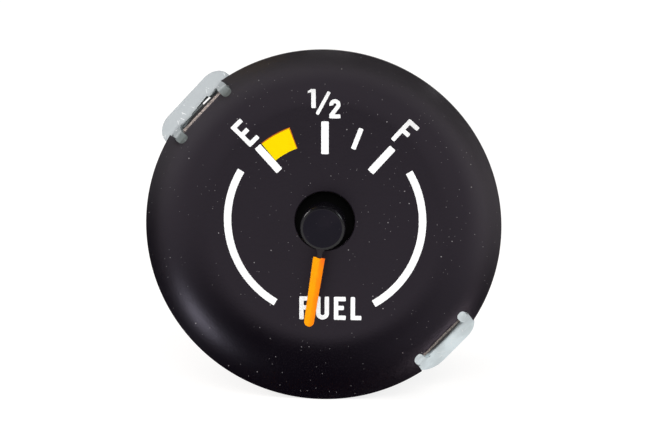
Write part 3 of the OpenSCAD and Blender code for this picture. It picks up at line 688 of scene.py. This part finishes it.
def roundedPath(points, radii):
    # Replaces a corner by an arc that touches both its sides
    path = [points[0]]
    for before, corner, after, radius in zip(points, points[1:], points[2:], radii):
        if not radius:
            path.append(corner)
            continue
        back = (before - corner).normalized()
        ahead = (after - corner).normalized()
        half = math.acos(max(-1, min(1, back.dot(ahead)))) / 2
        middle = corner + (back + ahead).normalized() * radius / math.sin(half)
        start = corner + back * radius / math.tan(half) - middle
        end = corner + ahead * radius / math.tan(half) - middle
        turn = math.atan2(start.x * end.y - start.y * end.x, start.dot(end))
        path += [middle + Matrix.Rotation(turn * k / bendSteps, 2) @ start
                 for k in range(bendSteps + 1)]
    return path + [points[-1]]


def earLeg():
    # Runs back along the drum from inside the plate, and follows the drum's round
    reach = rimR - drumInset + seatGap
    left, right = ear["legEdge"] - ear["legWidth"], ear["legEdge"]
    front = -ear["legFront"]
    mesh = bmesh.new()
    outline = [(left, front), (right, front), (right, ear["legBack"]), (left, ear["legBack"])]
    flatFace(mesh, outline, lambda aside, y: (aside, y, 0))
    roundAt(mesh, ear["legRound"], 6, lambda co: co.y > 0)
    for step in range(1, ear["legSteps"]):
        cutAcross(mesh, (left + (right - left) * step / ear["legSteps"], 0, 0), (1, 0, 0))
    raised = corners(bmesh.ops.extrude_face_region(mesh, geom=mesh.faces[:]))
    bmesh.ops.translate(mesh, verts=raised, vec=(0, 0, ear["sheet"]))
    easeEdges(mesh, ear["edge"], 2, 50)
    for vert in mesh.verts:
        radius = reach + vert.co.z
        turn = vert.co.x / reach
        vert.co = Vector((radius * math.sin(turn), vert.co.y, radius * math.cos(turn)))
    return mesh


def earOutline(shape, total):
    # The strip cut flat, as [aside, reach] points: plate, then the two fingers
    mid, slip, (left, right) = fingerMid(shape), shape["slip"], shape["ends"]
    inner, outer = mid - ear["fingerWidth"] / 2, mid + ear["fingerWidth"] / 2
    edge = ear["length"]
    return [(left, 0), (right, 0), (right, edge), (slip + outer, edge),
            (slip + outer, total), (slip + inner, total), (slip + inner, edge),
            *[(slip + aside, edge - deep) for aside, deep in shape["relief"]],
            (slip - inner, edge), (slip - inner, total), (slip - outer, total),
            (slip - outer, edge), (left, edge)]


def ramp(value, width):
    # 0 at zero, 1 from the width on
    return max(0, min(1, value / width))


def earStrip(shape, lengths):
    # The flat strip with its corners rounded, and with lines wherever it will bend
    mesh = bmesh.new()
    mid, slip = fingerMid(shape), shape["slip"]
    total, plateEnd = lengths[-1], ear["length"]
    inner = mid - ear["fingerWidth"] / 2
    flatFace(mesh, earOutline(shape, total), lambda aside, reach: (aside, reach, 0))
    roundAt(mesh, ear["fingerWidth"] / 2 - 0.15, 10, lambda co: abs(co.y - total) < 0.01)
    for end, radius in zip(shape["ends"], shape["corners"]):
        roundAt(mesh, radius, 14, lambda co: abs(co.y) < 0.01 and abs(co.x - end) < 0.01)
    roundAt(mesh, ear["root"], 6, lambda co: abs(co.y - plateEnd) < 0.01
            and abs(abs(co.x - slip) - inner) < 0.01)
    for reach in lengths[1:-1] + [plateEnd * k / 10 for k in range(1, 10)]:
        cutAcross(mesh, (0, reach, 0), (0, 1, 0))
    beyond = ear["fingerWidth"] / 2 + ear["bendFade"] / 2
    for side in (-1, 1):               # lines beside each finger, where the bend fades out
        for shift in (0, -beyond, beyond, beyond + ear["bendFade"] / 2):
            cutAcross(mesh, (slip + side * (mid - shift), 0, 0), (1, 0, 0))
    return mesh


def bendStrip(mesh, shape, section, path, lengths):
    # The length along the strip runs along the path; the lap follows the dial's round
    mid, slip = fingerMid(shape), shape["slip"]
    crestZ = section[2][0]
    crestAt = next(reach for reach, point in zip(lengths, path) if point[0] <= crestZ)
    down = (section[1] - section[0]).normalized()
    ahead = ear["sheet"] + seatGap
    for vert in mesh.verts:
        aside, reach = vert.co.x, vert.co.y
        at = max(i for i, length in enumerate(lengths[:-1]) if length <= reach + 1e-6)
        spot = path[at].lerp(path[at + 1], (reach - lengths[at]) / (lengths[at + 1] - lengths[at]))
        if reach < ear["length"] + 0.01:     # between the fingers the plate stays flat
            beside = abs(abs(aside - slip) - mid) - ear["fingerWidth"] / 2
            flat = ramp(beside, ear["bendFade"])
            spot = spot.lerp(section[0] + down * reach, flat * flat * (3 - 2 * flat))
        lift = ramp(reach - crestAt + ear["settle"], ear["settle"])
        z = min(spot[0], crestZ)
        lying = faceY(math.hypot(aside, z), ahead) - faceY(math.hypot(mid, z), ahead)
        vert.co = Vector((aside, spot[1] + lift * lying, spot[0]))


def undercutRelief(verts, shape, section):
    # Takes the back of the plate away behind its relief, so that only a thin edge shows
    down = (section[1] - section[0]).normalized()
    left = ear["fingerWidth"] / 2 - fingerMid(shape)
    right = shape["relief"][0][0] + undercut["past"]
    for vert in verts:
        aside = vert.co.x - shape["slip"]
        reach = (Vector((vert.co.z, vert.co.y)) - section[0]).dot(down)
        share = ramp(min(right - aside, aside - left), undercut["fadeAside"])
        share *= ramp(reach - ear["length"] + undercut["depth"], undercut["fadeIn"])
        if reach < ear["length"] + undercut["end"]:
            vert.co -= Vector((0, down.y, down.x)) * undercut["by"] * share


def makeEar(name, node, shape, finish):
    section = bentSection(shape)
    path = roundedPath(section, [ear["bendPlate"], shape["bendCrest"]] + [0] * len(section))
    lengths = [0]
    for before, after in zip(path, path[1:]):
        lengths.append(lengths[-1] + (after - before).length)
    mesh = earStrip(shape, lengths)
    bendStrip(mesh, shape, section, path, lengths)
    front = set(mesh.verts)
    thicken(mesh, ear["sheet"])
    if shape["relief"]:
        undercutRelief(set(mesh.verts) - front, shape, section)
    easeEdges(mesh, ear["edge"], 3, 50)
    join(mesh, earLeg())
    turned(mesh, mesh.verts, shape["clock"])
    return piece(mesh, name, "case", finish, [node])


makeEar("upperLeftEar", "upper_left_ear", upperEar, "zincUpper")
makeEar("lowerRightEar", "lower_right_ear", lowerEar, "zincLower")


# Pointer: hub with its stem, and the blade, drawn hanging straight down

hub = {
    "radius": 5.1,
    "faceRadius": 4.44,
    "length": 6.2,
    "wall": 0.9,
    "floor": 1.1,
    "bossRadius": 2.4,
    "boreRadius": 1.6,
    "bossShort": 0.4,
    "round": 0.7,
    "edge": 0.15,
}
stem = {
    "width": 1.1,
    "depth": 0.9,
    "inset": 0.1,
    "spine": 5,
    "spineDepth": 0.7,
    "fillet": 0.5,
    "webIn": 0.1,
    "webOut": 0.12,
    "webDown": 0.25,
    "webEnd": 0.8,
    "edge": 0.14,
}
blade = {
    "start": 6.8,
    "tip": 22.9,
    "widthStart": 2.7,
    "widthTip": 2.25,
    "proud": 0.1,
    "ridge": 0.2,
    "fall": 0.26,
    "dent": 0.13,
    "dentSlope": 0.1,
    "tipFlat": 0.03,
    "aside": 0.25,
    "edge": 0.16,
}
finishes["pointerOrange"] = pointerOrange()
hubFace = nodeBox("pointer_blade")[0].y + blade["proud"]


def makeHub():
    mesh = bmesh.new()
    back = hubFace + hub["length"]
    inner = hubFace + hub["floor"]
    chain(mesh, [(0, hubFace), (hub["radius"], hubFace), (hub["radius"], back),
                 (hub["radius"] - hub["wall"], back), (hub["radius"] - hub["wall"], inner),
                 (hub["bossRadius"], inner), (hub["bossRadius"], back - hub["bossShort"]),
                 (hub["boreRadius"], back - hub["bossShort"]), (hub["boreRadius"], inner),
                 (0, inner)])
    turnFully(mesh, 128)
    easeEdges(mesh, hub["round"], 8, 60, lambda edge: edge.verts[0].co.y < hubFace + 0.01)
    easeEdges(mesh, hub["edge"], 2, 60)
    for face in mesh.faces:
        face.material_index = int(reachOf(face.calc_center_median()) > hub["faceRadius"])
    stemFront = hubFace + stem["inset"]
    bladeBack = hubFace - blade["proud"] + stem["depth"]
    half = stem["width"] / 2
    root, end = -hub["radius"] + hub["wall"] / 2, -blade["start"]
    side = [(stemFront, root), (stemFront, end), (bladeBack, end),
            (bladeBack, end - stem["spine"]), (bladeBack + stem["spineDepth"], end - stem["spine"]),
            (stemFront + stem["depth"] + stem["spineDepth"], root)]
    spine = bmesh.new()
    face = flatFace(spine, side, lambda y, z: (-half, y, z))
    pushOut(spine, face, (2 * half, 0, 0))
    easeEdges(spine, stem["edge"], 2, 32)
    for way in (-1, 1):                # web that widens the stem where it meets the hub
        foot = [(0, root), (way * (half + stem["fillet"]), root - stem["webIn"]),
                (way * (half + stem["webOut"]), -hub["radius"] - stem["webDown"]),
                (way * half, end + stem["webEnd"])]
        web = flatFace(spine, foot, lambda x, z: (x, stemFront + 0.02, z))
        pushOut(spine, web, (0, stem["depth"], 0))
    for face in spine.faces:
        face.material_index = 2
    bmesh.ops.translate(spine, verts=spine.verts, vec=(blade["aside"], 0, 0))
    join(mesh, spine)
    turned(mesh, mesh.verts, restAngle)
    return piece(mesh, "pointerHub", "pointer",
                 ("hubPlastic", "hubRim", "stemPlastic"), ["pointer_hub"])


def makeBlade():
    mesh = bmesh.new()
    front = hubFace - blade["proud"]
    back = front + stem["depth"]
    top, tip = blade["widthStart"] / 2, blade["widthTip"] / 2
    start, low = -blade["start"], -blade["start"] - blade["dent"]
    dent = stem["width"] / 2           # the stem's end stands in a dent of the blade's start
    deep = dent - blade["dentSlope"]
    outline = [(top, start), (dent, start), (deep, low), (-deep, low), (-dent, start),
               (-top, start), (-tip, -blade["tip"]), (tip, -blade["tip"])]
    flatFace(mesh, outline, lambda x, z: (x, back, z))
    roundAt(mesh, tip - blade["tipFlat"], 12, lambda co: co.z < -blade["tip"] + 0.01)
    cutAcross(mesh, (blade["ridge"], 0, 0), (1, 0, 0))
    raised = corners(bmesh.ops.extrude_face_region(mesh, geom=mesh.faces[:]))
    for vert in raised:
        vert.co.y = front + abs(vert.co.x - blade["ridge"]) / top * blade["fall"]
    easeEdges(mesh, blade["edge"], 3, 50)
    bmesh.ops.translate(mesh, verts=mesh.verts, vec=(blade["aside"], 0, 0))
    turned(mesh, mesh.verts, restAngle)
    return piece(mesh, "pointerBlade", "pointer", "pointerOrange",
                 ["pointer_blade"], 60)


makeHub()
makeBlade()


# The rest of the body: each node's own shape, merged, with its edges eased

def plainCopy(node):
    mesh = bmesh.new()
    mesh.from_mesh(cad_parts[node].data)
    bmesh.ops.scale(mesh, verts=mesh.verts, vec=(metre,) * 3)
    bmesh.ops.remove_doubles(mesh, verts=mesh.verts, dist=0.001)
    bmesh.ops.dissolve_limit(mesh, angle_limit=math.radians(0.5), verts=mesh.verts,
                             edges=mesh.edges)
    return mesh


drum = {"wallFrom": rimR - 6, "draftFrom": 8.2, "draft": 2.4}
easedPieces = {                # node: name, material slot, finish, edge radius, segments, angle
    "case_can": ("caseDrum", "case_steel", "caseSteel", 0.18, 2, 40),
    "ear_rivets": ("earRivets", "rivet_steel", "rivetSteel", 0.12, 2, 30),
    "terminal_board": ("terminalBoard", "laminate", "laminate", 0.12, 2, 50),
    "insulating_bushes": ("insulatingBushes", "bush_fibre", "bushFibre", 0.16, 3, 50),
    "flat_washers": ("flatWashers", "bright_steel", "brightSteel", 0.12, 2, 50),
    "lock_washers": ("lockWashers", "bright_steel", "brightSteel", 0.12, 2, 50),
    "terminal_nuts": ("terminalNuts", "brass", "brass", 0.22, 2, 40),
    "movement_screws": ("movementScrews", "bright_steel", "brightSteel", 0.16, 3, 50),
    "bias_resistor": ("biasResistor", "resistor_ceramic", "resistorCeramic", 0.5, 4, 50),
    "resistor_straps": ("resistorStraps", "bright_steel", "brightSteel", 0.1, 2, 50),
}
for node, (name, slot, finish, width, segments, angle) in easedPieces.items():
    mesh = plainCopy(node)
    easeEdges(mesh, width, segments, angle)
    if node == "case_can":             # the drawn wall narrows a little towards the back
        for vert in mesh.verts:
            reach = reachOf(vert.co)
            deep = max(0, vert.co.y - drum["draftFrom"])
            if reach > drum["wallFrom"]:
                slim = 1 - deep * math.tan(math.radians(drum["draft"])) / reach
                vert.co.x *= slim
                vert.co.z *= slim
    piece(mesh, name, "case", finish, [node])


stud = {
    "radius": 2,
    "circle": 38,
    "clocks": (0, 120, 240),
    "pitch": 0.7,
    "threadDepth": 0.32,
    "threadShape": (0.4, 0.6, 0.92),
    "threadStart": 24.6,
    "threadShort": 0.5,
    "tipLength": 0.2,
    "tipIn": 0.3,
}


def makeStuds():
    low, high = nodeBox("terminal_studs")
    crest, root = stud["radius"], stud["radius"] - stud["threadDepth"]
    points = [(0, low.y), (crest, low.y), (crest, stud["threadStart"])]
    rootFrom, rootTo, crestFrom = (stud["pitch"] * share for share in stud["threadShape"])
    y = stud["threadStart"]
    while y + stud["pitch"] < high.y - stud["threadShort"]:
        points += [(root, y + rootFrom), (root, y + rootTo), (crest, y + crestFrom),
                   (crest, y + stud["pitch"])]
        y += stud["pitch"]
    points += [(root, high.y - stud["tipLength"]), (root - stud["tipIn"], high.y), (0, high.y)]
    mesh = bmesh.new()
    for clock in stud["clocks"]:
        one = bmesh.new()
        chain(one, points)
        turnFully(one, 40)
        bmesh.ops.translate(one, verts=one.verts, vec=(0, 0, stud["circle"] / 2))
        turned(one, one.verts, clock)
        join(mesh, one)
    return piece(mesh, "terminalStuds", "case", "brass", ["terminal_studs"])


makeStuds()


# Pieces that keep their node's shape as it is and only take a finish

plainNodes = {
    "scale_print": "whiteInk",
    "reserve_patch": "yellowInk",
    "reserve_underprint": "brownInk",
    "shield_cover": "coverBlack",
    "pointer_bush": "brass",
    "balance_weight": "weightMetal",
    "spindle": "brightSteel",
    "magnet_rotor": "magnet",
    "former_front": "formerPlastic",
    "former_rear": "formerPlastic",
    "front_bush": "brass",
    "rear_bush": "brass",
    "inner_coil": "innerCopper",
    "outer_coil": "outerCopper",
    "magnetic_shield": "shieldSteel",
}
for node, finish in plainNodes.items():
    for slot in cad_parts[node].material_slots:
        slot.material = finishes[finish]
print("plain pieces finished")


# Camera, lamps and floor

camera = {
    "azimuth": 3.283,
    "elevation": 10.775,
    "roll": 0.138,
    "distance": 405.6,
    "right": -0.499,
    "up": -2.385,
    "lens": 100,
}


def makeCamera():
    azimuth, elevation, roll = (math.radians(camera[name])
                                for name in ("azimuth", "elevation", "roll"))
    back = Vector((math.sin(azimuth) * math.cos(elevation),
                   -math.cos(azimuth) * math.cos(elevation), math.sin(elevation)))
    level = Vector((math.cos(azimuth), math.sin(azimuth), 0))
    upright = back.cross(level)
    right = level * math.cos(roll) + upright * math.sin(roll)
    up = upright * math.cos(roll) - level * math.sin(roll)
    spot = Vector((0, rimY, 0)) - right * camera["right"] - up * camera["up"]
    spot += back * camera["distance"]
    data = bpy.data.cameras.new("camera")
    data.lens = camera["lens"]
    data.sensor_width = 36
    made = bpy.data.objects.new("camera", data)
    made.matrix_world = Matrix.Translation(spot / metre) @ Matrix(
        (right, up, back)).transposed().to_4x4()
    bpy.context.scene.collection.objects.link(made)
    bpy.context.scene.camera = made


lamps = {
    "key": {"azimuth": 62, "elevation": 27, "level": 0.26, "width": 19, "tint": (0.9, 0.98, 1.0)},
    "side": {"azimuth": -85, "elevation": 32, "level": 0.42, "width": 23, "tint": (1.0, 0.95, 0.94)},
    "fill": {"azimuth": 5, "elevation": 35, "level": 0.68, "width": 40, "mirrored": False},
}


def makeLamp(name, azimuth, elevation, level, width, tint=(1, 1, 1), mirrored=True):
    # level is what a white card that faces the lamp shows, and width its spread in degrees
    turn, rise = math.radians(azimuth), math.radians(elevation)
    back = Vector((math.sin(turn) * math.cos(rise), -math.cos(turn) * math.cos(rise),
                   math.sin(rise)))
    data = bpy.data.lights.new(name, "SUN")
    data.angle = math.radians(width)
    data.energy = level * math.pi
    data.color = tint
    made = bpy.data.objects.new(name, data)
    made.matrix_world = Matrix.Translation(back) @ back.to_track_quat(
        "Z", "Y").to_matrix().to_4x4()
    made.visible_glossy = mirrored
    bpy.context.scene.collection.objects.link(made)


studio = {
    "floorColour": rgb(0.27, 0.26, 0.25),
    "floorLift": 0.78,
    "floorSize": 3.0,
    "ambient": 0.5,
    "leftWall": 0.8,
    "rightWall": 0.7,
    "frontDark": 0.02,
}


def makeFloor():
    mesh = bmesh.new()
    bmesh.ops.create_grid(mesh, x_segments=1, y_segments=1, size=studio["floorSize"])
    bmesh.ops.translate(mesh, verts=mesh.verts, vec=(0, 0, cadBounds[0].z))
    data = bpy.data.meshes.new("floor")
    mesh.to_mesh(data)
    mesh.free()
    paint = Paint(bpy.data.materials.new("floorWhite"))
    paint.tree.nodes.clear()
    seen = paint.add("LightPath", out="Is Camera Ray")
    seen = seen + paint.add("LightPath", out="Is Glossy Ray")
    seen = (seen + paint.add("LightPath", out="Is Transmission Ray")) * studio["floorLift"]
    card = paint.add("BsdfDiffuse", {}, {"Color": studio["floorColour"]})
    glow = paint.add("Emission", {}, {"Strength": seen})
    both = paint.add("AddShader", {}, (card, glow))
    output = paint.tree.nodes.new("ShaderNodeOutputMaterial")
    paint.feed(output.inputs["Surface"], both)
    data.materials.append(paint.owner)
    made = bpy.data.objects.new("floor", data)
    bpy.context.scene.collection.objects.link(made)


def makeWorld():
    # White to the camera; the room behind the camera is dark above the floor
    world = bpy.data.worlds.new("studio")
    bpy.context.scene.world = world
    paint = Paint(world)
    paint.tree.nodes.clear()
    way = paint.add("TexCoord", out="Generated")
    x, y, z = (paint.add("SeparateXYZ", {}, (way,), axis) for axis in "XYZ")
    # Walls on the left and right, which the glossy pieces mirror
    left = (x * -1).rises(0.15, 0.6) * z.falls(0.25, 0.85) * studio["leftWall"]
    right = x.rises(0.2, 0.7) * z.falls(0.0, 0.45) * studio["rightWall"]
    soft = paint.add("Math", {"operation": "MINIMUM"}, (y.rises(0.05, 0.5) + left + right, 1))
    soft = soft * (1 - studio["frontDark"]) + studio["frontDark"]
    toCamera = paint.add("LightPath", out="Is Camera Ray")
    diffuse = paint.add("LightPath", out="Is Diffuse Ray")
    room = soft * (1 - diffuse) + studio["ambient"] * diffuse
    strength = toCamera + room * (1 - toCamera)
    sky = paint.add("Background", {}, {"Color": rgb(1, 1, 1), "Strength": strength})
    output = paint.tree.nodes.new("ShaderNodeOutputWorld")
    paint.feed(output.inputs["Surface"], sky)


makeCamera()
makeFloor()
makeWorld()
for name, values in lamps.items():
    makeLamp(name, **values)
bpy.context.scene.view_settings.view_transform = "Standard"
print("studio made")
